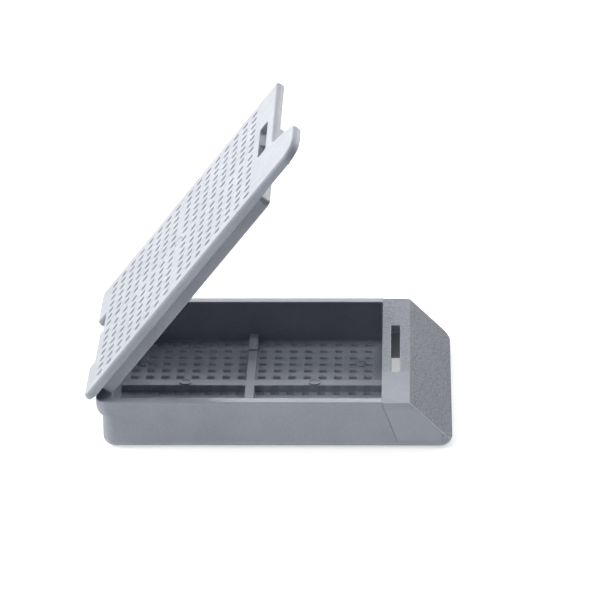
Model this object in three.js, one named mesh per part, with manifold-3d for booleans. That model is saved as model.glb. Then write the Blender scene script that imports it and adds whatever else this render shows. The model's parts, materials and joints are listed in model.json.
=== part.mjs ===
// A small specimen cassette for rinsing samples: a perforated base tray with a sloping writing face, and a
// perforated lid that clips onto a hinge bar at the tray's far end and latches into a window in its deck.
// Millimetres, +Z up. The lid swings about the Y axis and stands open at OPEN_ANGLE.

import * as THREE from 'three';
import { mergeVertices } from 'three/addons/utils/BufferGeometryUtils.js';
import Module from 'manifold-3d';

const wasm = await Module();
wasm.setup();

// ---- driving dimensions ------------------------------------------------------------------------------
// The tray's corner frame: X from the hinge end wall, Y from one side wall, Z from the underside.
const LENGTH = 40.5;
const WIDTH = 28.5;
const HEIGHT = 6.0;
const WALL = 1.2;
const FLOOR_TOP = 0.69;
const PLAN_CORNER = 1.4;
const BASE_ROUNDING = 1.2;
const MID_Y = WIDTH / 2;

// Specimen well, with a chamfer on the hinge end rim that lets the lid's skirt swing past it.
const WELL_END = 32.27;
const WELL_CORNER = 0.3;
const RIM_CHAMFER = 0.25;

// Floor perforations, in four quarters parted by the two ribs.
const SLOT_COLUMNS = 16;
const SLOT_ROWS = 14;
const SLOT_HALF_GAP = 1.2;
const TRAY_SLOT = { midX: 16.5, pitchX: 1.84, pitchY: 1.8, sizeX: 0.86, sizeY: 0.66 };
const RIB_TOP = 1.5;
const LONG_RIB_WIDTH = 1.5;
const CROSS_RIB_TOP_WIDTH = 1.1;
const CROSS_RIB_BASE_WIDTH = 1.35;
const RIB_STEP_HEIGHT = 0.2;
const RIB_STEP_START = 23.0;
const PAD_RADIUS = 0.7;
const PAD_HEIGHT = 0.15;
const RIB_PAD_OFFSET_X = 7.7;
const FLOOR_PAD_OFFSET_X = 13.15;
const FLOOR_PAD_OFFSET_Y = 6.7;

// Block with the latch window, the sloping writing face and the hollow under both.
const SLOPE_SUM = 41.45; // x + z along the 45 degree writing face
const DECK_TOP = 5.9;
const DECK_WINDOW = { x0: 33.3, x1: 34.35, y0: 8.2, y1: 20.9 };
const HOLLOW = { x0: 33.3, x1: 38.4, roof: 4.88, y0: 4.5 };
const HOLLOW_SLOPE_SUM = 39.89;

// Hinge lip across the end wall, the pocket in it and the bar that crosses the pocket.
const LIP_REACH = 0.7;
const LIP_STRAIGHT = 5.3;
const LIP_FOOT = 4.0;
const LIP_CORNER = 1.5;
const HINGE_X = -0.5;
const HINGE_Z = 4.95;
const BAR_RADIUS = 0.38;
const BAR_OVERLAP = 0.4; // how far each end of the bar runs into the tray
const POCKET_LENGTH = 7.7;
const POCKET_BACK = 0.55;
const POCKET_FLOOR = 3.9;

// Lid frame: X along the lid from the hinge, Z out of its outer face, measured from the hinge axis.
const OPEN_ANGLE = THREE.MathUtils.degToRad(51.94);
const LID_TOP = 2.154;
const LID_SHIFT = 0.193; // from the hinge axis to the lid's own zero
const PLATE = 1.0;
const PLATE_ROUNDING = { inwards: 0.32, down: 0.6 }; // outer edge of the plate
const LID_Y0 = 0.05;
const LID_Y1 = 28.5;
const LID_END = 35.6;
const LID_CORNER = 0.8;
const LID_SHARP_CORNER = 0.36;
const EAR_START = 0.05;
const FRONT_EAR_END = 8.05;
const BACK_EAR_START = 19.9;
const EAR_INNER_CORNER = 0.6;
const EAR_RELIEF = { length: 1.3, height: 0.3 }; // taper under the hinge end of the plate
const RECESS_START = 1.75;
const TONGUE_TIP = 39.9;
const TONGUE_FRONT = { x: 37.4, pullX: 39.2, pullY: 1.2, y: 3.6 };
const TONGUE_BACK = { tipY: 5.4, tipPullY: 7.0, pullX: 39.4, pullY: 7.5, x: 38.5, y: 7.95 };
const NOTCH = { x: 36.3, y: 9.05, pullY: 9.4, endY: 10.2 };
const SKIRT = { x0: 1.75, x1: 32.35, y0: 1.32, wall: 0.43, depth: 2.6, corner: 0.7 };
const LID_SLOT = { midX: 17.07, pitchX: 1.84, pitchY: 1.81, sizeX: 0.86, sizeY: 0.7 };
const LID_WINDOW = { x0: 32.75, x1: 34.2, length: 8.6 };
const LATCH = { x0: 34.0, x1: 34.5, length: 7.8, depth: 3.4, barb: 0.28, barbTop: 2.2, barbEnd: 2.9 };
const RAMP = { x0: 32.55, x1: 33.35, y0: 14.0, y1: 17.0, top: 0.1, foot: 0.97 };

// Hook that clips over the hinge bar.
const HOOK_LENGTH = 7.3;
const HOOK_INNER = 0.46;
const HOOK_OUTER = 0.9;
const HOOK_MOUTH = 0.55;
const NECK = { x0: 0.21, x1: 0.85, z0: 0.4 };
const ARM = { x1: 2.1, z0: 1.154, z1: 1.55 };

const BEYOND = 1.0; // how far a cutter runs past the faces it opens
const CIRCLE_STEPS = 24;
const CORNER_STEPS = 5;
const BEVEL_STEPS = 4;

// ---- solids ------------------------------------------------------------------------------------------
function solid(geometry) {
  geometry.deleteAttribute('normal');
  geometry.deleteAttribute('uv');
  const merged = mergeVertices(geometry, 1e-5);
  const mesh = new wasm.Mesh({
    numProp: 3,
    vertProperties: new Float32Array(merged.attributes.position.array),
    triVerts: new Uint32Array(merged.index.array),
  });
  return new wasm.Manifold(mesh);
}

function toGeometry(body) {
  const mesh = body.getMesh();
  const geometry = new THREE.BufferGeometry();
  geometry.setAttribute('position', new THREE.BufferAttribute(mesh.vertProperties, 3));
  geometry.setIndex(new THREE.BufferAttribute(mesh.triVerts, 1));
  geometry.computeVertexNormals();
  return geometry;
}

function box(x0, x1, y0, y1, z0, z1) {
  const geometry = new THREE.BoxGeometry(x1 - x0, y1 - y0, z1 - z0);
  geometry.translate((x0 + x1) / 2, (y0 + y1) / 2, (z0 + z1) / 2);
  return solid(geometry);
}

// A box centred on the tray's middle line.
function midBox(x0, x1, length, z0, z1) {
  return box(x0, x1, MID_Y - length / 2, MID_Y + length / 2, z0, z1);
}

function disc(x, y, radius, z0, z1) {
  const geometry = new THREE.CylinderGeometry(radius, radius, z1 - z0, CIRCLE_STEPS);
  geometry.rotateX(Math.PI / 2);
  geometry.translate(x, y, (z0 + z1) / 2);
  return solid(geometry);
}

function rodAlongY(x, z, radius, y0, y1) {
  const geometry = new THREE.CylinderGeometry(radius, radius, y1 - y0, CIRCLE_STEPS);
  geometry.translate(x, (y0 + y1) / 2, z);
  return solid(geometry);
}

// An upright prism of a plan outline, from z0 to z1.
function upright(shape, z0, z1, curveSegments = CORNER_STEPS) {
  const geometry = new THREE.ExtrudeGeometry(shape, { depth: z1 - z0, bevelEnabled: false, curveSegments });
  geometry.translate(0, 0, z0);
  return solid(geometry);
}

// An upright prism whose top and bottom edges are rounded, by a given reach inwards and down.
function rounded(shape, z0, z1, { inwards, down }) {
  const geometry = new THREE.ExtrudeGeometry(shape, {
    depth: z1 - z0 - 2 * down,
    bevelThickness: down,
    bevelSize: inwards,
    bevelOffset: -inwards,
    bevelSegments: BEVEL_STEPS,
    curveSegments: CORNER_STEPS,
  });
  geometry.translate(0, 0, z0 + down);
  return solid(geometry);
}

// A prism along Y of a side profile given as [x, z] points.
function alongY(profile, y0, y1) {
  const shape = new THREE.Shape(profile.map(([x, z]) => new THREE.Vector2(x, z)));
  const geometry = new THREE.ExtrudeGeometry(shape, { depth: y1 - y0, bevelEnabled: false });
  geometry.rotateX(Math.PI / 2);
  geometry.translate(0, y1, 0);
  return solid(geometry);
}

function roundedRectangle(x0, x1, y0, y1, radius) {
  const shape = new THREE.Shape();
  shape.moveTo(x0 + radius, y0);
  shape.lineTo(x1 - radius, y0);
  shape.absarc(x1 - radius, y0 + radius, radius, -Math.PI / 2, 0);
  shape.lineTo(x1, y1 - radius);
  shape.absarc(x1 - radius, y1 - radius, radius, 0, Math.PI / 2);
  shape.lineTo(x0 + radius, y1);
  shape.absarc(x0 + radius, y1 - radius, radius, Math.PI / 2, Math.PI);
  shape.lineTo(x0, y0 + radius);
  shape.absarc(x0 + radius, y0 + radius, radius, Math.PI, 1.5 * Math.PI);
  return shape;
}

// Offsets of the slot centres from the middle, the same on both sides of the gap there.
function offsets(count, pitch) {
  const half = count / 2;
  return Array.from({ length: count }, (_, i) => {
    const side = i < half ? -1 : 1;
    const step = i < half ? half - 1 - i : i - half;
    return side * (SLOT_HALF_GAP + step * pitch);
  });
}

function slotCutters(slot, z0, z1) {
  const cutters = [];
  for (const dx of offsets(SLOT_COLUMNS, slot.pitchX)) {
    for (const dy of offsets(SLOT_ROWS, slot.pitchY)) {
      const x = slot.midX + dx;
      const y = MID_Y + dy;
      cutters.push(box(x - slot.sizeX / 2, x + slot.sizeX / 2, y - slot.sizeY / 2, y + slot.sizeY / 2, z0, z1));
    }
  }
  return wasm.Manifold.union(cutters);
}

// ---- base tray ---------------------------------------------------------------------------------------
function trayBlock() {
  const plan = roundedRectangle(0, LENGTH, 0, WIDTH, PLAN_CORNER);
  const rounding = { inwards: BASE_ROUNDING, down: BASE_ROUNDING };
  const tall = rounded(plan, 0, HEIGHT + 3 * BASE_ROUNDING, rounding);
  const side = [
    [-BEYOND, -BEYOND],
    [SLOPE_SUM + BEYOND, -BEYOND],
    [SLOPE_SUM - HEIGHT, HEIGHT],
    [-BEYOND, HEIGHT],
  ];
  return tall.intersect(alongY(side, -BEYOND, WIDTH + BEYOND));
}

function hingeLip() {
  const profile = [[WALL, LIP_FOOT]];
  const quarter = 6;
  for (let i = 0; i <= quarter; i += 1) {
    const angle = (i / quarter) * (Math.PI / 2);
    profile.push([-LIP_REACH * Math.sin(angle), LIP_FOOT + (LIP_STRAIGHT - LIP_FOOT) * (1 - Math.cos(angle))]);
  }
  profile.push([-LIP_REACH, HEIGHT], [WALL, HEIGHT]);
  const plan = roundedRectangle(-LIP_REACH, LENGTH / 2, 0, WIDTH, LIP_CORNER);
  const outline = upright(plan, 0, HEIGHT + BEYOND);
  return alongY(profile.reverse(), -BEYOND, WIDTH + BEYOND).intersect(outline);
}

function hingePocket() {
  return midBox(-LIP_REACH - BEYOND, POCKET_BACK, POCKET_LENGTH, POCKET_FLOOR, HEIGHT + BEYOND);
}

function hingeBar() {
  const half = POCKET_LENGTH / 2 + BAR_OVERLAP;
  return rodAlongY(HINGE_X, HINGE_Z, BAR_RADIUS, MID_Y - half, MID_Y + half);
}

function wellCutter() {
  const plan = roundedRectangle(WALL, WELL_END, WALL, WIDTH - WALL, WELL_CORNER);
  const well = upright(plan, FLOOR_TOP, HEIGHT + BEYOND, 3);
  const chamfer = alongY(
    [
      [WALL - RIM_CHAMFER - BEYOND, HEIGHT + BEYOND],
      [WALL + RIM_CHAMFER, HEIGHT - 2 * RIM_CHAMFER],
      [WALL + BEYOND, HEIGHT + BEYOND],
    ],
    WALL + WELL_CORNER,
    WIDTH - WALL - WELL_CORNER,
  );
  return well.add(chamfer);
}

function ribs() {
  const long = midBox(WALL / 2, WELL_END + WALL / 2, LONG_RIB_WIDTH, FLOOR_TOP / 2, RIB_TOP);
  const crossProfile = (top) => [
    [TRAY_SLOT.midX - CROSS_RIB_BASE_WIDTH / 2, FLOOR_TOP / 2],
    [TRAY_SLOT.midX + CROSS_RIB_BASE_WIDTH / 2, FLOOR_TOP / 2],
    [TRAY_SLOT.midX + CROSS_RIB_TOP_WIDTH / 2, top],
    [TRAY_SLOT.midX - CROSS_RIB_TOP_WIDTH / 2, top],
  ];
  const cross = alongY(crossProfile(RIB_TOP), WALL / 2, WIDTH - WALL / 2);
  const step = alongY(crossProfile(RIB_TOP + RIB_STEP_HEIGHT), RIB_STEP_START, WIDTH - WALL / 2);
  return [long, cross, step];
}

function ejectorPads() {
  const pads = [];
  for (const side of [-1, 1]) {
    const ribX = TRAY_SLOT.midX + side * RIB_PAD_OFFSET_X;
    pads.push(disc(ribX, MID_Y, PAD_RADIUS, FLOOR_TOP, RIB_TOP + PAD_HEIGHT));
    for (const across of [-1, 1]) {
      const floorX = TRAY_SLOT.midX + side * FLOOR_PAD_OFFSET_X;
      const floorY = MID_Y + across * FLOOR_PAD_OFFSET_Y;
      pads.push(disc(floorX, floorY, PAD_RADIUS, 0, FLOOR_TOP + PAD_HEIGHT));
    }
  }
  return pads;
}

function blockHollow() {
  const profile = [
    [HOLLOW.x0, -BEYOND],
    [HOLLOW.x1, -BEYOND],
    [HOLLOW.x1, HOLLOW_SLOPE_SUM - HOLLOW.x1],
    [HOLLOW_SLOPE_SUM - HOLLOW.roof, HOLLOW.roof],
    [HOLLOW.x0, HOLLOW.roof],
  ];
  return alongY(profile, HOLLOW.y0, WIDTH - HOLLOW.y0);
}

function baseTray() {
  const deckCut = box(WELL_END, LENGTH, -BEYOND, WIDTH + BEYOND, DECK_TOP, HEIGHT + BEYOND);
  const { x0, x1, y0, y1 } = DECK_WINDOW;
  const deckWindow = box(x0, x1, y0, y1, HOLLOW.roof - BEYOND, HEIGHT + BEYOND);
  const shell = trayBlock()
    .add(hingeLip())
    .subtract(wasm.Manifold.union([hingePocket(), wellCutter(), blockHollow(), deckCut, deckWindow]))
    .add(hingeBar());
  return wasm.Manifold.union([shell, ...ribs(), ...ejectorPads()])
    .subtract(slotCutters(TRAY_SLOT, -BEYOND, FLOOR_TOP + BEYOND / 10));
}

// ---- lid, in its own frame ---------------------------------------------------------------------------
function lidOutline() {
  const corner = LID_CORNER;
  const sharp = LID_SHARP_CORNER;
  const inner = EAR_START + EAR_INNER_CORNER;
  const front = TONGUE_FRONT;
  const back = TONGUE_BACK;
  const shape = new THREE.Shape();
  shape.moveTo(EAR_START + corner, LID_Y0);
  shape.lineTo(front.x, LID_Y0);
  shape.bezierCurveTo(front.pullX, LID_Y0, TONGUE_TIP, front.pullY, TONGUE_TIP, front.y);
  shape.lineTo(TONGUE_TIP, back.tipY);
  shape.bezierCurveTo(TONGUE_TIP, back.tipPullY, back.pullX, back.pullY, back.x, back.y);
  shape.lineTo(NOTCH.x, NOTCH.y);
  shape.quadraticCurveTo(LID_END, NOTCH.pullY, LID_END, NOTCH.endY);
  shape.lineTo(LID_END, LID_Y1 - sharp);
  shape.absarc(LID_END - sharp, LID_Y1 - sharp, sharp, 0, Math.PI / 2);
  shape.lineTo(EAR_START + corner, LID_Y1);
  shape.absarc(EAR_START + corner, LID_Y1 - corner, corner, Math.PI / 2, Math.PI);
  shape.lineTo(EAR_START, BACK_EAR_START + EAR_INNER_CORNER);
  shape.quadraticCurveTo(EAR_START, BACK_EAR_START, inner, BACK_EAR_START);
  shape.lineTo(RECESS_START, BACK_EAR_START);
  shape.lineTo(RECESS_START, FRONT_EAR_END);
  shape.lineTo(inner, FRONT_EAR_END);
  shape.quadraticCurveTo(EAR_START, FRONT_EAR_END, EAR_START, FRONT_EAR_END - EAR_INNER_CORNER);
  shape.lineTo(EAR_START, LID_Y0 + corner);
  shape.absarc(EAR_START + corner, LID_Y0 + corner, corner, Math.PI, 1.5 * Math.PI);
  return shape;
}

// The flat plate: rounded along its outer edges, sharp below, tapered under its hinge end.
function lidPlate() {
  const slab = rounded(lidOutline(), -2 * PLATE, 0, PLATE_ROUNDING).trimByPlane([0, 0, 1], -PLATE);
  const relief = [
    [EAR_START - BEYOND, -PLATE - BEYOND],
    [EAR_START + EAR_RELIEF.length, -PLATE],
    [EAR_START, EAR_RELIEF.height - PLATE],
    [EAR_START - BEYOND, EAR_RELIEF.height - PLATE],
  ];
  return slab.subtract(alongY(relief, -BEYOND, WIDTH + BEYOND));
}

function lidSkirt() {
  const { x0, x1, y0, wall, depth, corner } = SKIRT;
  const outer = roundedRectangle(x0, x1, y0, WIDTH - y0, corner);
  const inner = roundedRectangle(x0 + wall, x1 - wall, y0 + wall, WIDTH - y0 - wall, corner - wall);
  const ring = upright(outer, -depth, -PLATE / 2, 4);
  return ring.subtract(upright(inner, -depth - BEYOND, 0, 3));
}

function latch() {
  const { x0, x1, length, depth, barb, barbTop, barbEnd } = LATCH;
  const lead = (x1 - x0) / 4;
  const profile = [
    [x0, -PLATE / 2],
    [x0, -barbTop],
    [x0 - barb, -barbTop - barb / 2],
    [x0 - barb, -barbEnd],
    [x0 + lead, -depth],
    [x1, -depth],
    [x1, -PLATE / 2],
  ];
  return alongY(profile.reverse(), MID_Y - length / 2, MID_Y + length / 2);
}

function windowRamp() {
  const profile = [
    [RAMP.x0, -RAMP.foot],
    [RAMP.x1, -RAMP.foot],
    [LID_WINDOW.x0, -RAMP.top],
    [RAMP.x0, -RAMP.top],
  ];
  return alongY(profile, RAMP.y0, RAMP.y1);
}

// The C-shaped hook, its neck and the arm that carries it, about the hinge axis.
function hook() {
  const y0 = MID_Y - HOOK_LENGTH / 2;
  const y1 = MID_Y + HOOK_LENGTH / 2;
  const ring = rodAlongY(0, 0, HOOK_OUTER, y0, y1);
  const neck = box(NECK.x0, NECK.x1, y0, y1, NECK.z0, ARM.z1);
  const arm = box(NECK.x0, ARM.x1, y0, y1, ARM.z0, ARM.z1);
  const bore = rodAlongY(0, 0, HOOK_INNER, y0 - BEYOND, y1 + BEYOND);
  const mouth = box(-HOOK_MOUTH / 2, HOOK_MOUTH / 2, y0 - BEYOND, y1 + BEYOND, -BEYOND, 0);
  return ring.add(neck).add(arm).subtract(bore).subtract(mouth);
}

function lid() {
  const windowCut = midBox(LID_WINDOW.x0, LID_WINDOW.x1, LID_WINDOW.length, -PLATE - BEYOND / 2, BEYOND);
  const perforated = lidPlate().add(lidSkirt()).subtract(slotCutters(LID_SLOT, -PLATE - BEYOND / 10, BEYOND));
  const body = perforated.subtract(windowCut).add(latch()).add(windowRamp());
  return body.translate([LID_SHIFT, 0, LID_TOP]).add(hook());
}

// ---- assembly ----------------------------------------------------------------------------------------
function part(name, body, colour) {
  const material = new THREE.MeshStandardMaterial({ color: colour, roughness: 0.6, metalness: 0 });
  const mesh = new THREE.Mesh(toGeometry(body), material);
  mesh.name = name;
  return mesh;
}

const hinge = new THREE.Group();
hinge.position.set(HINGE_X, 0, HINGE_Z);
hinge.rotation.y = -OPEN_ANGLE;
hinge.add(part('lid', lid(), 0xa6abb3));

// The cassette's origin lies on its underside, below the crossing of the two ribs.
const cassette = new THREE.Group();
cassette.position.set(-TRAY_SLOT.midX, -MID_Y, 0);
cassette.add(part('base_tray', baseTray(), 0x9a9fa8), hinge);

export default cassette;
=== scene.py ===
"""Looks of the hinged specimen cassette: a perforated moulded tray and its perforated lid, standing open.

The CAD solids give the sizes and the hinge. Both mouldings are rebuilt here as finely rounded meshes in the
same place, in millimetres, then scaled into the frame's metres.
"""

import json
import math

import bmesh
import bpy
from mathutils import Matrix, Vector

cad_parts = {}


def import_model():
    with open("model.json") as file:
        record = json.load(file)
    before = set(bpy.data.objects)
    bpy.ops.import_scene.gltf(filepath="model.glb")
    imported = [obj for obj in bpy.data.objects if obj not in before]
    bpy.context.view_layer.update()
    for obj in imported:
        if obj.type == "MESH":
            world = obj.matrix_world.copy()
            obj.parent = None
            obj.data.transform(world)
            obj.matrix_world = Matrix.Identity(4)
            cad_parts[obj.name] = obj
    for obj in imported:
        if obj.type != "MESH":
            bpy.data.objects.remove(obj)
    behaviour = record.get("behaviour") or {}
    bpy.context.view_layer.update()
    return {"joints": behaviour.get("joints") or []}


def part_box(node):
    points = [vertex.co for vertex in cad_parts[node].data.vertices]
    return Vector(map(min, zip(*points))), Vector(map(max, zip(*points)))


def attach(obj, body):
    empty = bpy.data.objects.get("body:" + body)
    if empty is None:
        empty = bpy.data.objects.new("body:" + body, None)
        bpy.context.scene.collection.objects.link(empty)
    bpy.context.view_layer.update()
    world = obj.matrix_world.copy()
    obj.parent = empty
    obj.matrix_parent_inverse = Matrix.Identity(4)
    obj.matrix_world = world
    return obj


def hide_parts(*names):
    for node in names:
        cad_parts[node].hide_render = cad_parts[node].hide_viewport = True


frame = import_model()

MM = 0.001

# ---- driving dimensions, millimetres, in the tray's corner frame --------------------------------------
TRAY_LOW, TRAY_HIGH = (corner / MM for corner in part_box("base_tray"))
HINGE = frame["joints"][0]
HINGE_POINT = Vector(HINGE["pos_m"]) / MM
HINGE_X = -0.5  # the hinge axis lies this far along X in the corner frame
LIP_REACH = 0.7
CORNER_X = HINGE_POINT.x - HINGE_X
LENGTH = TRAY_HIGH.x - CORNER_X
WIDTH = TRAY_HIGH.y - TRAY_LOW.y
HEIGHT = TRAY_HIGH.z
MID_Y = WIDTH / 2
CORNER_TO_ROW = Matrix.Translation((CORNER_X, TRAY_LOW.y, 0))

WALL = 1.2
FLOOR_TOP = 0.69
PLAN_CORNER = 1.45
BASE_ROUNDING = 1.2
RIM_ROUNDING = 0.12
WELL_END = 32.27
WELL_CORNER = 0.3
FLOOR_FILLET = 0.2
LIP_STRAIGHT = 5.3
LIP_FOOT = 4.0

SLOT_COLUMNS = 16
SLOT_ROWS = 14
SLOT_HALF_GAP = 1.2
SLOT_CORNER = 0.1
SLOT_ROUNDING = 0.09
TRAY_SLOT = {"mid_x": 16.5, "pitch_x": 1.84, "pitch_y": 1.8, "size_x": 0.86, "size_y": 0.66, "flare": 0.17}
RIB_TOP = 1.5
LONG_RIB_WIDTH = 1.5
CROSS_RIB_TOP_WIDTH = 1.1
CROSS_RIB_BASE_WIDTH = 1.35
RIB_STEP_HEIGHT = 0.2
RIB_STEP_START = 23.0
RIB_ROUNDING = 0.12
PAD_RADIUS = 0.7
PAD_HEIGHT = 0.15
PAD_RING = {"width": 0.13, "depth": 0.07}
RIB_PAD_OFFSET = 7.7
FLOOR_PAD_OFFSET = (13.15, 6.7)

SLOPE_SUM = 41.45
SLOPE_ROUNDING = 0.22
DECK_TOP = 5.9
DECK_INSERT_STEP = 0.04
DECK_WINDOW = {"x0": 33.3, "x1": 34.35, "y0": 8.2, "y1": 20.9}
HOLLOW = {"x0": 33.3, "x1": 38.4, "roof": 4.88, "y0": 4.5}
HOLLOW_SLOPE_SUM = 39.89
PARTING_LINE = {"top_x": 32.3, "foot_x": 34.45, "width": 0.13, "depth": 0.07}

POCKET_LENGTH = 7.7
POCKET_BACK = 0.55
POCKET_FLOOR = 3.9
BAR_RADIUS = 0.38
BAR_OVERLAP = 0.4

# Lid frame: x along the lid, z out of its outer face, its zero LID_SHIFT away from the hinge axis.
OPEN_ANGLE = math.radians(-HINGE["range_deg"][0])
LID_TO_ROW = (
    Matrix.Translation((HINGE_POINT.x, TRAY_LOW.y, HINGE_POINT.z))
    @ Matrix.Rotation(-OPEN_ANGLE, 4, "Y")
)
LID_SHIFT = Vector((0.193, 0, 2.154))
PLATE = 1.0
PLATE_ROUNDING = {"inwards": 0.32, "down": 0.6, "steps": 8}
PLATE_FOOT_CHAMFER = 0.04
LID_Y0 = 0.05
LID_Y1 = 28.5
LID_END = 35.6
LID_CORNER = 0.8
LID_SHARP_CORNER = 0.36
EAR_START = 0.05
FRONT_EAR_END = 8.05
BACK_EAR_START = 19.9
EAR_INNER_CORNER = 0.6
EAR_RELIEF = {"length": 1.3, "height": 0.3, "overshoot": 0.01}
RECESS_START = 1.75
TONGUE_TIP = 39.885
TONGUE_FRONT = [(37.4, LID_Y0), (39.2, LID_Y0), (TONGUE_TIP, 1.2), (TONGUE_TIP, 3.6)]
TONGUE_BACK = [(TONGUE_TIP, 5.4), (TONGUE_TIP, 7.0), (39.4, 7.5), (38.5, 7.95)]
NOTCH = [(36.3, 9.05), (35.83, 9.28), (LID_END, 9.67), (LID_END, 10.2)]
SKIRT = {"x0": 1.75, "x1": 32.35, "y0": 1.32, "wall": 0.43, "depth": 2.6, "corner": 0.7}
SKIRT_ROUNDING = 0.18
LID_SLOT = {"mid_x": 17.07, "pitch_x": 1.84, "pitch_y": 1.81, "size_x": 0.82, "size_y": 0.58, "flare": 0.13}
LID_WINDOW = {"x0": 32.75, "x1": 34.2, "length": 8.6, "corner": 0.4}
LATCH = {"x0": 34.0, "x1": 34.5, "length": 7.8, "depth": 3.4, "barb": 0.28, "barb_top": 2.2, "barb_end": 2.9}
RAMP = {"x0": 32.55, "x1": 33.35, "y0": 14.0, "y1": 17.0, "top": 0.1, "foot": 0.97}
LATCH_END_ROUNDING = 0.08
GATE = {"x": 17.07, "radius": 0.75, "groove": 0.14, "depth": 0.1}

# Hook, neck and arm: x and z from the hinge axis, in the lid's directions.
HOOK_LENGTH = 7.3
HOOK_INNER = 0.46
HOOK_OUTER = 0.9
HOOK_MOUTH = 0.55
NECK = {"x0": 0.21, "x1": 0.85, "z0": 0.4}
ARM = {"x1": 2.1, "z0": 1.154, "z1": 1.55}
HOOK_END_ROUNDING = 0.06

BEYOND = 1.0  # how far a cutter runs past the faces it opens
ARC_STEPS = 5
CIRCLE_STEPS = 48


# ---- outlines and lofted solids -----------------------------------------------------------------------
def arc(cx, cy, radius, start, end, steps=ARC_STEPS):
    """Points on an arc, both ends included, angles in degrees."""
    angles = [math.radians(start + (end - start) * i / steps) for i in range(steps + 1)]
    return [(cx + radius * math.cos(a), cy + radius * math.sin(a)) for a in angles]


def bezier(p0, p1, p2, p3, steps=10):
    """Points on a cubic curve, both ends included."""
    points = []
    for i in range(steps + 1):
        t = i / steps
        s = 1 - t
        weights = (s**3, 3 * s * s * t, 3 * s * t * t, t**3)
        points.append(tuple(sum(w * p[k] for w, p in zip(weights, (p0, p1, p2, p3))) for k in (0, 1)))
    return points


def rounded_rectangle(x0, x1, y0, y1, radius, steps=ARC_STEPS):
    return (
        arc(x1 - radius, y0 + radius, radius, -90, 0, steps)
        + arc(x1 - radius, y1 - radius, radius, 0, 90, steps)
        + arc(x0 + radius, y1 - radius, radius, 90, 180, steps)
        + arc(x0 + radius, y0 + radius, radius, 180, 270, steps)
    )


def inset(outline, distance):
    """The outline moved inwards, each point along the bisector of its two sides."""
    moved = []
    count = len(outline)
    for i, (x, y) in enumerate(outline):
        before = Vector(outline[i]) - Vector(outline[i - 1])
        after = Vector(outline[(i + 1) % count]) - Vector(outline[i])
        n0 = Vector((-before.y, before.x)).normalized()
        n1 = Vector((-after.y, after.x)).normalized()
        bisector = (n0 + n1).normalized()
        reach = distance / max(0.5, bisector.dot(n0))
        moved.append((x + bisector.x * reach, y + bisector.y * reach))
    return moved


def rounding(radius, steps=4):
    """(inset, depth) pairs of a quarter round, from the flat face down to the side."""
    angles = [math.radians(90 * i / steps) for i in range(steps + 1)]
    return [(radius * (1 - math.sin(a)), radius * (1 - math.cos(a))) for a in angles]


def loft(rings):
    """A closed solid through rings of equally many 3-D points, capped at both ends."""
    bm = bmesh.new()
    levels = [[bm.verts.new(p) for p in ring] for ring in rings]
    count = len(levels[0])
    for low, high in zip(levels, levels[1:]):
        for i in range(count):
            j = (i + 1) % count
            bm.faces.new((low[i], low[j], high[j], high[i]))
    bm.faces.new(list(reversed(levels[0])))
    bm.faces.new(levels[-1])
    bmesh.ops.remove_doubles(bm, verts=bm.verts, dist=1e-5)
    bmesh.ops.recalc_face_normals(bm, faces=bm.faces)
    return bm


def upright(outline_at, levels):
    """A solid whose plan at each (z, inset) level is outline_at(inset)."""
    return loft([[(x, y, z) for x, y in outline_at(reach)] for z, reach in levels])


def plan_levels(z0, z1, foot, head):
    """Levels of a prism from z0 to z1 with its foot and head edges rounded."""
    low = [(z0 + depth, reach) for reach, depth in rounding(foot)] if foot else [(z0, 0)]
    high = [(z1 - depth, reach) for reach, depth in reversed(rounding(head))] if head else [(z1, 0)]
    return low + high


def along_y(profile, y0, y1, end_rounding=0.0):
    """A prism along Y of a side profile of (x, z) points, its end edges rounded if asked."""
    if end_rounding:
        ends = rounding(end_rounding, 3)
        levels = [(y0 + depth, reach) for reach, depth in ends]
        levels += [(y1 - depth, reach) for reach, depth in reversed(ends)]
    else:
        levels = [(y0, 0), (y1, 0)]
    return loft([[(x, y, z) for x, z in inset(profile, reach)] for y, reach in levels])


def box(x0, x1, y0, y1, z0, z1):
    corners = [(x0, y0), (x1, y0), (x1, y1), (x0, y1)]
    return loft([[(x, y, z) for x, y in corners] for z in (z0, z1)])


def mid_box(x0, x1, length, z0, z1):
    return box(x0, x1, MID_Y - length / 2, MID_Y + length / 2, z0, z1)


def opening(x0, x1, y0, y1, z0, z1, corner, flare, steps=3):
    """A cutter for a through slot from z0 to z1 whose two rims come out rounded."""
    round_pairs = rounding(flare, 3)
    levels = [(z0 - BEYOND, flare)]
    levels += [(z0 + depth, reach) for reach, depth in round_pairs]
    levels += [(z1 - depth, reach) for reach, depth in reversed(round_pairs)]
    levels += [(z1 + BEYOND, flare)]

    def outline_at(reach):
        return rounded_rectangle(x0 - reach, x1 + reach, y0 - reach, y1 + reach, corner + reach, steps)

    return upright(outline_at, levels)


def joined(parts):
    """Several solids as one mesh, without any boolean."""
    whole = bmesh.new()
    for part in parts:
        mesh = bpy.data.meshes.new("part")
        part.to_mesh(mesh)
        whole.from_mesh(mesh)
        bpy.data.meshes.remove(mesh)
        part.free()
    return whole


def boolean(first, second, operation):
    """first UNION, DIFFERENCE or INTERSECT second, as a new bmesh."""
    objects = []
    for bm in (first, second):
        mesh = bpy.data.meshes.new("operand")
        bm.to_mesh(mesh)
        bm.free()
        operand = bpy.data.objects.new("operand", mesh)
        bpy.context.scene.collection.objects.link(operand)
        objects.append(operand)
    modifier = objects[0].modifiers.new("cut", "BOOLEAN")
    modifier.operation = operation
    modifier.object = objects[1]
    modifier.solver = "MANIFOLD"
    result = bmesh.new()
    evaluated = objects[0].evaluated_get(bpy.context.evaluated_depsgraph_get())
    result.from_mesh(evaluated.to_mesh())
    evaluated.to_mesh_clear()
    for operand in objects:
        mesh = operand.data
        bpy.data.objects.remove(operand)
        bpy.data.meshes.remove(mesh)
    return result


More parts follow.
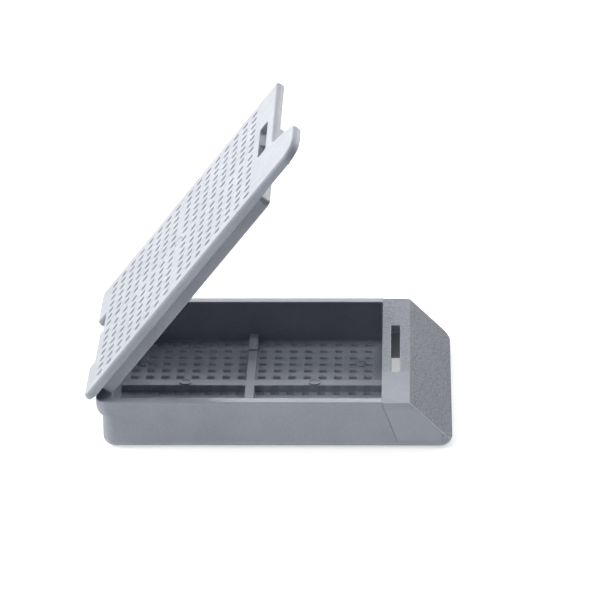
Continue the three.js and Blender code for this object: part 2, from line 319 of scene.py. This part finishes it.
def cut(body, *cutters):
    for cutter in cutters:
        body = boolean(body, cutter, "DIFFERENCE")
    return body


def add(body, *others):
    for other in others:
        body = boolean(body, other, "UNION")
    return body


def slot_centres(slot):
    """Centres of the slot grid, in four quarters parted by a wider gap each way."""
    def offsets(count, pitch):
        steps = [SLOT_HALF_GAP + pitch * i for i in range(count // 2)]
        return [-step for step in reversed(steps)] + steps

    for dx in offsets(SLOT_COLUMNS, slot["pitch_x"]):
        for dy in offsets(SLOT_ROWS, slot["pitch_y"]):
            yield slot["mid_x"] + dx, MID_Y + dy


def slot_cutters(slot, z0, z1):
    half_x, half_y = slot["size_x"] / 2, slot["size_y"] / 2
    return joined(
        opening(x - half_x, x + half_x, y - half_y, y + half_y, z0, z1, SLOT_CORNER, slot["flare"])
        for x, y in slot_centres(slot)
    )


def disc(x, y, radius, z0, z1, edge):
    """A round pad whose top edge is rounded."""
    def outline_at(reach):
        return arc(x, y, radius - reach, 0, 360 - 360 / CIRCLE_STEPS, CIRCLE_STEPS - 1)

    return upright(outline_at, plan_levels(z0, z1, 0, edge))


# ---- base tray ----------------------------------------------------------------------------------------
def tray_shell():
    """Outer form: rounded base, rounded rim, and the hinge lip that swells out of the end wall."""
    rings = []

    def ring(z, x0, reach):
        outline = rounded_rectangle(x0 + reach, LENGTH - reach, reach, WIDTH - reach, PLAN_CORNER - reach, 8)
        rings.append([(x, y, z) for x, y in outline])

    for reach, depth in rounding(BASE_ROUNDING, 8):
        ring(depth, 0, reach)
    steps = 8
    for i in range(steps + 1):
        angle = math.radians(90 * i / steps)
        ring(LIP_FOOT + (LIP_STRAIGHT - LIP_FOOT) * (1 - math.cos(angle)), -LIP_REACH * math.sin(angle), 0)
    for reach, depth in reversed(rounding(RIM_ROUNDING)):
        ring(HEIGHT - depth, -LIP_REACH, reach)
    return loft(rings)


def writing_slope_limit():
    """A block whose tilted top is the writing face, with the face's two side edges rounded."""
    back_x = -2 * LENGTH
    foot_z = -LENGTH
    drop = math.sqrt(0.5)
    levels = [(y_depth, reach) for reach, y_depth in rounding(SLOPE_ROUNDING)]
    rings = []
    for y, reach in levels + [(WIDTH - depth, reach) for depth, reach in reversed(levels)]:
        limit = SLOPE_SUM - reach / drop
        ring = [(back_x, foot_z), (limit - foot_z, foot_z), (limit - LENGTH, LENGTH), (back_x, LENGTH)]
        rings.append([(x, y, z) for x, z in ring])
    return loft(rings)


def well():
    """Cutter for the specimen well: filleted at the floor, rounded at the rim."""
    levels = [(FLOOR_TOP + depth, reach) for reach, depth in rounding(FLOOR_FILLET)]
    levels += [(HEIGHT - depth, -reach) for reach, depth in reversed(rounding(RIM_ROUNDING))]
    levels += [(HEIGHT + BEYOND, -RIM_ROUNDING)]

    def outline_at(reach):
        return rounded_rectangle(
            WALL + reach, WELL_END - reach, WALL + reach, WIDTH - WALL - reach, WELL_CORNER - reach
        )

    return upright(outline_at, levels)


def rib_profile(middle, top_width, base_width, top):
    """Half section of a rib: sloping sides and a rounded top, from inside the floor."""
    half_base, half_top = base_width / 2, top_width / 2
    r = RIB_ROUNDING
    foot = FLOOR_TOP / 2
    right = arc(middle + half_top - r, top - r, r, 0, 90, 3)
    left = arc(middle - half_top + r, top - r, r, 90, 180, 3)
    return [(middle - half_base, foot), (middle + half_base, foot)] + right + left


def cross_rib(y0, top):
    profile = rib_profile(TRAY_SLOT["mid_x"], CROSS_RIB_TOP_WIDTH, CROSS_RIB_BASE_WIDTH, top)
    return along_y(profile, y0, WIDTH - WALL / 2)


def long_rib():
    profile = rib_profile(MID_Y, LONG_RIB_WIDTH, LONG_RIB_WIDTH, RIB_TOP)
    return loft([[(x, y, z) for y, z in profile] for x in (WALL / 2, WELL_END + WALL / 2)])


def ejector_pad(x, y, z0, z1):
    """A round pad left by an ejector pin, its rim standing a little above its middle."""
    edge = 0.05
    dish = disc(x, y, PAD_RADIUS - PAD_RING["width"], z1 - PAD_RING["depth"], z1 + BEYOND, 0)
    return cut(disc(x, y, PAD_RADIUS, z0, z1, edge), dish)


def ejector_pads():
    pads = []
    for side in (-1, 1):
        x = TRAY_SLOT["mid_x"] + side * RIB_PAD_OFFSET
        pads.append(ejector_pad(x, MID_Y, FLOOR_TOP, RIB_TOP + PAD_HEIGHT))
        for across in (-1, 1):
            x = TRAY_SLOT["mid_x"] + side * FLOOR_PAD_OFFSET[0]
            y = MID_Y + across * FLOOR_PAD_OFFSET[1]
            pads.append(ejector_pad(x, y, FLOOR_TOP / 2, FLOOR_TOP + PAD_HEIGHT))
    return pads


def block_hollow():
    profile = [
        (HOLLOW["x0"], -BEYOND),
        (HOLLOW["x1"], -BEYOND),
        (HOLLOW["x1"], HOLLOW_SLOPE_SUM - HOLLOW["x1"]),
        (HOLLOW_SLOPE_SUM - HOLLOW["roof"], HOLLOW["roof"]),
        (HOLLOW["x0"], HOLLOW["roof"]),
    ]
    return along_y(profile, HOLLOW["y0"], WIDTH - HOLLOW["y0"])


def deck_cutters():
    """The deck lies a little below the rim, and lower still where the window's grained insert stood."""
    step_y = DECK_WINDOW["y0"]
    front = box(WELL_END, LENGTH, -BEYOND, step_y, DECK_TOP + DECK_INSERT_STEP, HEIGHT + BEYOND)
    rest = box(WELL_END, LENGTH, step_y, WIDTH + BEYOND, DECK_TOP, HEIGHT + BEYOND)
    return front, rest


def deck_window():
    return opening(
        DECK_WINDOW["x0"], DECK_WINDOW["x1"], DECK_WINDOW["y0"], DECK_WINDOW["y1"], HOLLOW["roof"], DECK_TOP,
        SLOT_CORNER, SLOT_ROUNDING,
    )


def parting_lines():
    """Fine grooves down both side walls where the mould's end insert meets its body."""
    half = PARTING_LINE["width"] / 2
    top, foot = PARTING_LINE["top_x"], PARTING_LINE["foot_x"]
    profile = [(foot - half, 0), (foot + half, 0), (top + half, HEIGHT), (top - half, HEIGHT)]
    depth = PARTING_LINE["depth"]
    return [along_y(profile, -BEYOND, depth), along_y(profile, WIDTH - depth, WIDTH + BEYOND)]


def tray_mesh():
    body = boolean(tray_shell(), writing_slope_limit(), "INTERSECT")
    pocket = mid_box(-LIP_REACH - BEYOND, POCKET_BACK, POCKET_LENGTH, POCKET_FLOOR, HEIGHT + BEYOND)
    body = cut(body, pocket, well(), block_hollow(), *deck_cutters(), deck_window(), *parting_lines())
    bar_profile = arc(HINGE_X, HINGE_POINT.z, BAR_RADIUS, 0, 360 - 360 / CIRCLE_STEPS, CIRCLE_STEPS - 1)
    bar_half = POCKET_LENGTH / 2 + BAR_OVERLAP
    bar = along_y(bar_profile, MID_Y - bar_half, MID_Y + bar_half)
    ribs = (long_rib(), cross_rib(WALL / 2, RIB_TOP), cross_rib(RIB_STEP_START, RIB_TOP + RIB_STEP_HEIGHT))
    body = add(body, bar, *ribs, *ejector_pads())
    return cut(body, slot_cutters(TRAY_SLOT, 0, FLOOR_TOP))


# ---- lid ----------------------------------------------------------------------------------------------
def lid_outline():
    """Plan of the lid plate: two hinge ears with a recess between them, and the thumb tongue."""
    r, sharp, inner = LID_CORNER, LID_SHARP_CORNER, EAR_INNER_CORNER
    points = [(EAR_START + r, LID_Y0)] + bezier(*TONGUE_FRONT) + bezier(*TONGUE_BACK) + bezier(*NOTCH, 6)
    points += arc(LID_END - sharp, LID_Y1 - sharp, sharp, 0, 90)
    points += arc(EAR_START + r, LID_Y1 - r, r, 90, 180)
    points += arc(EAR_START + inner, BACK_EAR_START + inner, inner, 180, 270, 4)
    points += [(RECESS_START, BACK_EAR_START), (RECESS_START, FRONT_EAR_END)]
    points += arc(EAR_START + inner, FRONT_EAR_END - inner, inner, 90, 180, 4)
    points += arc(EAR_START + r, LID_Y0 + r, r, 180, 270)[:-1]
    return points


def lid_plate():
    """The flat plate: rounded along its outer edges, nearly sharp below, tapered under its hinge end."""
    outline = lid_outline()
    inwards, down = PLATE_ROUNDING["inwards"], PLATE_ROUNDING["down"]
    steps = PLATE_ROUNDING["steps"]
    levels = [(-PLATE, PLATE_FOOT_CHAMFER), (PLATE_FOOT_CHAMFER - PLATE, 0)]
    for i in range(steps + 1):
        angle = math.radians(90 * i / steps)
        levels.append((down * (math.sin(angle) - 1), inwards * (1 - math.cos(angle))))
    plate = upright(lambda reach: inset(outline, reach), levels)
    start, relief_top = EAR_START, EAR_RELIEF["height"] - PLATE
    relief = [
        (start - BEYOND, -PLATE - BEYOND),
        (start + EAR_RELIEF["length"], -PLATE - EAR_RELIEF["overshoot"]),
        (start + EAR_RELIEF["length"], -PLATE),
        (start, relief_top),
        (start - BEYOND, relief_top),
    ]
    return cut(plate, along_y(relief, -BEYOND, WIDTH + BEYOND))


def lid_skirt():
    """The thin rim under the plate that drops into the well, rounded along its free edge."""
    wall, corner = SKIRT["wall"], SKIRT["corner"]
    x0, x1, y0 = SKIRT["x0"], SKIRT["x1"], SKIRT["y0"]

    def outer_at(reach):
        return rounded_rectangle(x0 + reach, x1 - reach, y0 + reach, WIDTH - y0 - reach, corner - reach)

    def inner_at(reach):
        a = wall - reach
        return rounded_rectangle(x0 + a, x1 - a, y0 + a, WIDTH - y0 - a, corner - wall + reach)

    outer = upright(outer_at, plan_levels(-SKIRT["depth"], -PLATE / 2, SKIRT_ROUNDING, 0))
    flare = [(-SKIRT["depth"] - BEYOND, SKIRT_ROUNDING)]
    flare += [(-SKIRT["depth"] + depth, reach) for reach, depth in rounding(SKIRT_ROUNDING)]
    return cut(outer, upright(inner_at, flare + [(0, 0)]))


def latch():
    """The springy stem with its barb, behind the lid's window."""
    x0, x1, depth = LATCH["x0"], LATCH["x1"], LATCH["depth"]
    r = 0.12
    profile = [
        (x0, -PLATE / 2),
        (x0, -LATCH["barb_top"]),
        (x0 - LATCH["barb"], -LATCH["barb_top"] - LATCH["barb"] / 2),
        (x0 - LATCH["barb"], -LATCH["barb_end"]),
        (x0 + r, -depth),
    ]
    profile += arc(x1 - r, -depth + r, r, 270, 360, 3) + [(x1, -PLATE / 2)]
    return along_y(profile, MID_Y - LATCH["length"] / 2, MID_Y + LATCH["length"] / 2, LATCH_END_ROUNDING)


def window_ramp():
    """The ramp under the window's near edge that frees the barb's core pin."""
    profile = [
        (RAMP["x0"], -RAMP["foot"]),
        (RAMP["x1"], -RAMP["foot"]),
        (LID_WINDOW["x0"], -RAMP["top"]),
        (RAMP["x0"], -RAMP["top"]),
    ]
    return along_y(profile, RAMP["y0"], RAMP["y1"])


def gate_mark():
    """Cutter for the ring left around the moulding gate at the plate's centre."""
    x, radius, groove = GATE["x"], GATE["radius"], GATE["groove"]
    ring = disc(x, MID_Y, radius, -GATE["depth"], BEYOND, 0)
    return cut(ring, disc(x, MID_Y, radius - groove, -BEYOND, BEYOND + BEYOND, 0))


def hook():
    """The C-shaped hook with its neck and arm, one side profile about the hinge axis."""
    half_mouth = HOOK_MOUTH / 2
    mouth_out = math.degrees(math.asin(half_mouth / HOOK_OUTER))
    mouth_in = math.degrees(math.asin(half_mouth / HOOK_INNER))
    neck_meets = math.degrees(math.atan2(math.sqrt(HOOK_OUTER**2 - NECK["x1"] ** 2), NECK["x1"]))
    neck_leaves = math.degrees(math.acos(NECK["x0"] / HOOK_OUTER))
    profile = arc(0, 0, HOOK_OUTER, -90 + mouth_out, neck_meets, 14)
    profile += [(NECK["x1"], ARM["z0"]), (ARM["x1"], ARM["z0"]), (ARM["x1"], ARM["z1"])]
    r = 0.15
    profile += arc(NECK["x0"] + r, ARM["z1"] - r, r, 90, 180, 3)
    profile += arc(0, 0, HOOK_OUTER, neck_leaves, 270 - mouth_out, 22)
    profile += arc(0, 0, HOOK_INNER, 270 - mouth_in, -90 + mouth_in, 28)
    return along_y(profile, MID_Y - HOOK_LENGTH / 2, MID_Y + HOOK_LENGTH / 2, HOOK_END_ROUNDING)


def lid_mesh():
    half = LID_WINDOW["length"] / 2
    window = opening(
        LID_WINDOW["x0"], LID_WINDOW["x1"], MID_Y - half, MID_Y + half, -PLATE, 0, LID_WINDOW["corner"],
        SLOT_ROUNDING,
    )
    body = cut(add(lid_plate(), lid_skirt()), slot_cutters(LID_SLOT, -PLATE, 0), window, gate_mark())
    body = add(body, latch(), window_ramp())
    body.transform(Matrix.Translation(LID_SHIFT))
    return add(body, hook())


# ---- materials ----------------------------------------------------------------------------------------
def node(tree, kind, inputs=None, **settings):
    made = tree.nodes.new(kind)
    for name, value in settings.items():
        setattr(made, name, value)
    for name, value in (inputs or {}).items():
        if isinstance(value, bpy.types.NodeSocket):
            tree.links.new(value, made.inputs[name])
        else:
            made.inputs[name].default_value = value
    return made


def noise(tree, coordinates, size_mm, detail=4.0, roughness=0.55):
    """Noise whose features are about size_mm across."""
    inputs = {"Vector": coordinates, "Scale": 1 / (size_mm * MM), "Detail": detail, "Roughness": roughness}
    return node(tree, "ShaderNodeTexNoise", inputs).outputs["Fac"]


def ramp(tree, value, stops):
    made = node(tree, "ShaderNodeValToRGB", {"Fac": value})
    elements = made.color_ramp.elements
    for element, (place, colour) in zip(elements, (stops[0], stops[-1])):
        element.position = place
        element.color = (*colour, 1)
    for place, colour in stops[1:-1]:
        elements.new(place).color = (*colour, 1)
    return made.outputs["Color"]


def remap(tree, value, low, high):
    inputs = {"Value": value, "From Min": 0.25, "From Max": 0.75, "To Min": low, "To Max": high}
    return node(tree, "ShaderNodeMapRange", inputs).outputs["Result"]


TRAY_GREY = (0.25, 0.266, 0.308)
FINE_GRAIN = 0.12
COARSE_GRAIN = 0.26
SCATTERING = {"weight": 0.5, "depth": 0.35}
# pale sharp edges and the pale band below a given top are painted highlight: a lighter copy of the colour
# mixed in
PAINTED_HIGHLIGHT = {"pale": 1.35, "at_edges": 0.35, "in_band": 0.6, "band": 0.45}
ROUGHNESS_SPREAD = 0.06


# the tray grey scaled: a factor below 1 paints shade into it, a factor above 1 paints a highlight
def painted_light_grey(factor):
    return tuple(c * factor for c in TRAY_GREY)


def moulded_plastic(name, colour, grain_mm, grain_depth_mm, rough, speckle=(0.9, 1.08), highlight_top=None):
    """Satin acetal: faint cloudy colour, speckle and fine grain, a little light let in, and paler sharp
    edges: a painted edge highlight.

    Where a top height is given, a band just below that height is painted pale too: a painted highlight along
    that edge.
    """
    material = bpy.data.materials.new(name)
    material.use_nodes = True
    tree = material.node_tree
    shader = tree.nodes["Principled BSDF"]
    place = node(tree, "ShaderNodeTexCoord").outputs["Object"]

    dark = tuple(c * 0.94 for c in colour)
    pale = tuple(min(1, c * 1.06) for c in colour)
    cloud = ramp(tree, noise(tree, place, 6.0, 3), [(0.35, dark), (0.5, colour), (0.65, pale)])
    stops = [(step, (brightness,) * 3) for step, brightness in zip((0.35, 0.65), speckle)]
    fleck = ramp(tree, noise(tree, place, grain_mm, 2), stops)
    mixed = node(tree, "ShaderNodeMix", {"Factor": 1.0}, data_type="RGBA", blend_type="MULTIPLY")
    tree.links.new(cloud, mixed.inputs["A"])
    tree.links.new(fleck, mixed.inputs["B"])
    # sharp edges turn paler: a painted edge highlight
    edge = node(tree, "ShaderNodeNewGeometry").outputs["Pointiness"]
    painted_highlight = node(
        tree, "ShaderNodeMapRange",
        {"Value": edge, "From Min": 0.52, "From Max": 0.62, "To Min": 0.0, "To Max": PAINTED_HIGHLIGHT["at_edges"]},
    ).outputs["Result"]
    # a band just below the given top turns paler too: a painted highlight along that edge
    if highlight_top is not None:
        height = node(tree, "ShaderNodeSeparateXYZ", {"Vector": place}).outputs["Z"]
        band = node(
            tree, "ShaderNodeMapRange",
            {
                "Value": height, "From Min": (highlight_top - PAINTED_HIGHLIGHT["band"]) * MM, "From Max": highlight_top * MM,
                "To Max": PAINTED_HIGHLIGHT["in_band"],
            },
        ).outputs["Result"]
        larger = node(tree, "ShaderNodeMath", operation="MAXIMUM")
        tree.links.new(band, larger.inputs[0])
        tree.links.new(painted_highlight, larger.inputs[1])
        painted_highlight = larger.outputs["Value"]
    edged = node(tree, "ShaderNodeMix", {"Factor": painted_highlight}, data_type="RGBA")
    tree.links.new(mixed.outputs["Result"], edged.inputs["A"])
    edged.inputs["B"].default_value = (*(min(1, c * PAINTED_HIGHLIGHT["pale"]) for c in colour), 1)
    tree.links.new(edged.outputs["Result"], shader.inputs["Base Color"])

    uneven = remap(tree, noise(tree, place, 1.2), rough - ROUGHNESS_SPREAD, rough + ROUGHNESS_SPREAD)
    tree.links.new(uneven, shader.inputs["Roughness"])
    shader.inputs["Specular IOR Level"].default_value = 0.45
    shader.inputs["Subsurface Weight"].default_value = SCATTERING["weight"]
    shader.inputs["Subsurface Radius"].default_value = (1, 1, 1)
    shader.inputs["Subsurface Scale"].default_value = SCATTERING["depth"] * MM
    grain = node(
        tree, "ShaderNodeBump",
        {"Height": noise(tree, place, grain_mm, 5, 0.6), "Strength": 1.0, "Distance": grain_depth_mm * MM},
    )
    flow = node(
        tree, "ShaderNodeBump",
        {
            "Height": noise(tree, place, 5.0, 1), "Strength": 1.0, "Distance": 0.03 * MM,
            "Normal": grain.outputs["Normal"],
        },
    )
    tree.links.new(flow.outputs["Normal"], shader.inputs["Normal"])
    return material


# ---- pieces -------------------------------------------------------------------------------------------
SLOPE_NORMAL = Vector((math.sqrt(0.5), 0, math.sqrt(0.5)))
SLOPE_DISTANCE = (SLOPE_SUM + CORNER_X) * math.sqrt(0.5) * MM
FACE_MARGIN = 0.01 * MM  # how near its plane a face lies to count as part of it
SHARP_ANGLE = math.radians(38)


def tray_face_material(face):
    """Index of a tray face's material: 0 body, 1 writing face, 2 deck insert, 3 rim, 4 slope's side edges."""
    middle = face.calc_center_median()
    below_slope = SLOPE_DISTANCE - middle.dot(SLOPE_NORMAL)
    if face.normal.dot(SLOPE_NORMAL) > 0.9999 and abs(below_slope) < FACE_MARGIN:
        return 1
    level = face.normal.z > 0.999
    if level and abs(middle.z - DECK_TOP * MM) < FACE_MARGIN:
        return 2
    if level and abs(middle.z - HEIGHT * MM) < FACE_MARGIN:
        return 3
    tilted = 0.1 < abs(face.normal.y) < 0.95 and face.normal.x > 0.1
    if tilted and below_slope < SLOPE_ROUNDING * MM:
        return 4
    return 0


def piece(name, bm, to_row, materials, body, cad_node):
    """A finished moulding in the row frame, riding on its body in place of its CAD solid."""
    bmesh.ops.triangulate(bm, faces=[f for f in bm.faces if len(f.verts) > 4])
    bmesh.ops.remove_doubles(bm, verts=bm.verts, dist=1e-4)
    bmesh.ops.recalc_face_normals(bm, faces=bm.faces)
    bm.transform(Matrix.Scale(MM, 4) @ to_row)
    mesh = bpy.data.meshes.new(name)
    for material in materials:
        mesh.materials.append(material)
    for face in bm.faces:
        face.smooth = True
        if len(materials) > 1:
            face.material_index = tray_face_material(face)
    bm.to_mesh(mesh)
    bm.free()
    mesh.set_sharp_from_angle(angle=SHARP_ANGLE)
    made = bpy.data.objects.new(name, mesh)
    bpy.context.scene.collection.objects.link(made)
    weighted = made.modifiers.new("flat faces lead", "WEIGHTED_NORMAL")
    weighted.keep_sharp = True
    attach(made, body)
    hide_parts(cad_node)
    return made


tray_plastic = moulded_plastic("tray_plastic", TRAY_GREY, FINE_GRAIN, 0.004, 0.4)
# writing face: the tray grey darkened, painted shade for a face turned from the key light, with a painted
# highlight band along its top edge
writing_grain_painted_light = moulded_plastic(
    "writing_grain_painted_light", painted_light_grey(0.64), COARSE_GRAIN, 0.12, 0.75, speckle=(0.45, 1.5), highlight_top=DECK_TOP
)
deck_grain = moulded_plastic("deck_grain", TRAY_GREY, COARSE_GRAIN, 0.05, 0.55, speckle=(0.75, 1.22))
# slope's side edges: the tray grey lightened, a painted highlight
slope_edge_highlight = moulded_plastic("slope_edge_highlight", painted_light_grey(1.4), COARSE_GRAIN, 0.05, 0.55)
polished_rim = moulded_plastic("polished_rim", TRAY_GREY, FINE_GRAIN, 0.002, 0.17)
lid_plastic = moulded_plastic("lid_plastic", TRAY_GREY, FINE_GRAIN, 0.004, 0.36)

# in the order of the indices that tray_face_material gives
tray_materials = [tray_plastic, writing_grain_painted_light, deck_grain, polished_rim, slope_edge_highlight]
piece("tray_moulding", tray_mesh(), CORNER_TO_ROW, tray_materials, "tray", "base_tray")
piece("lid_moulding", lid_mesh(), LID_TO_ROW, [lid_plastic], "lid", "lid")


# ---- stage, light and camera --------------------------------------------------------------------------
FLOOR_GLOW = 0.45


def floor():
    size = 3.0
    mesh = bpy.data.meshes.new("floor")
    corners = [(-size, -size, 0), (size, -size, 0), (size, size, 0), (-size, size, 0)]
    mesh.from_pydata(corners, [], [(0, 1, 2, 3)])
    material = bpy.data.materials.new("floor")
    material.use_nodes = True
    shader = material.node_tree.nodes["Principled BSDF"]
    shader.inputs["Base Color"].default_value = (0.75, 0.75, 0.75, 1)
    shader.inputs["Roughness"].default_value = 0.9
    shader.inputs["Emission Color"].default_value = (1, 1, 1, 1)
    shader.inputs["Emission Strength"].default_value = FLOOR_GLOW
    mesh.materials.append(material)
    made = bpy.data.objects.new("floor", mesh)
    bpy.context.scene.collection.objects.link(made)


def softbox(name, place, target, width, height, power):
    light = bpy.data.lights.new(name, "AREA")
    light.shape = "RECTANGLE"
    light.size = width
    light.size_y = height
    light.energy = power
    made = bpy.data.objects.new(name, light)
    made.location = place
    made.rotation_euler = (Vector(target) - Vector(place)).to_track_quat("-Z", "Y").to_euler()
    bpy.context.scene.collection.objects.link(made)


def camera():
    """The viewpoint: nearly straight on to the long side, 25 degrees above it, with a long lens."""
    elevation = math.radians(24.99)
    turn = math.radians(1.815)
    distance = 0.40972
    aim = Vector((0.0061, 0, 0.01235))
    data = bpy.data.cameras.new("camera")
    data.lens = 208.8
    data.sensor_width = 36
    data.clip_end = 20
    made = bpy.data.objects.new("camera", data)
    tilt = Matrix.Rotation(math.pi / 2 - elevation, 4, "X") @ Matrix.Rotation(turn, 4, "Y")
    made.matrix_world = Matrix.Translation(aim + tilt.to_3x3() @ Vector((0, 0, distance))) @ tilt
    bpy.context.scene.collection.objects.link(made)
    bpy.context.scene.camera = made


def world(strength):
    made = bpy.data.worlds.new("studio")
    made.use_nodes = True
    made.node_tree.nodes["Background"].inputs["Color"].default_value = (1, 1, 1, 1)
    made.node_tree.nodes["Background"].inputs["Strength"].default_value = strength
    bpy.context.scene.world = made


floor()
softbox("key_left", (-0.6, 0.0, 0.5), (0, 0, 0), 0.5, 0.5, 4.4)
softbox("left_front", (-0.55, -0.35, 0.35), (0, 0, 0), 0.5, 0.5, 3.0)
softbox("top", (0.0, 0.1, 0.75), (0, 0, 0), 0.5, 0.5, 1.6)
softbox("right_back", (0.5, 0.4, 0.4), (0, 0, 0), 0.5, 0.5, 2.2)
softbox("back", (0.0, 0.75, 0.36), (0, 0, 0), 1.2, 0.3, 2.8)
softbox("low_left_back", (-0.5, 0.7, 0.14), (0, 0, 0), 0.6, 0.28, 1.9)
softbox("low_right_back", (0.5, 0.7, 0.14), (0, 0, 0), 0.6, 0.28, 1.4)
world(0.08)
camera()
bpy.context.scene.view_settings.view_transform = "Standard"
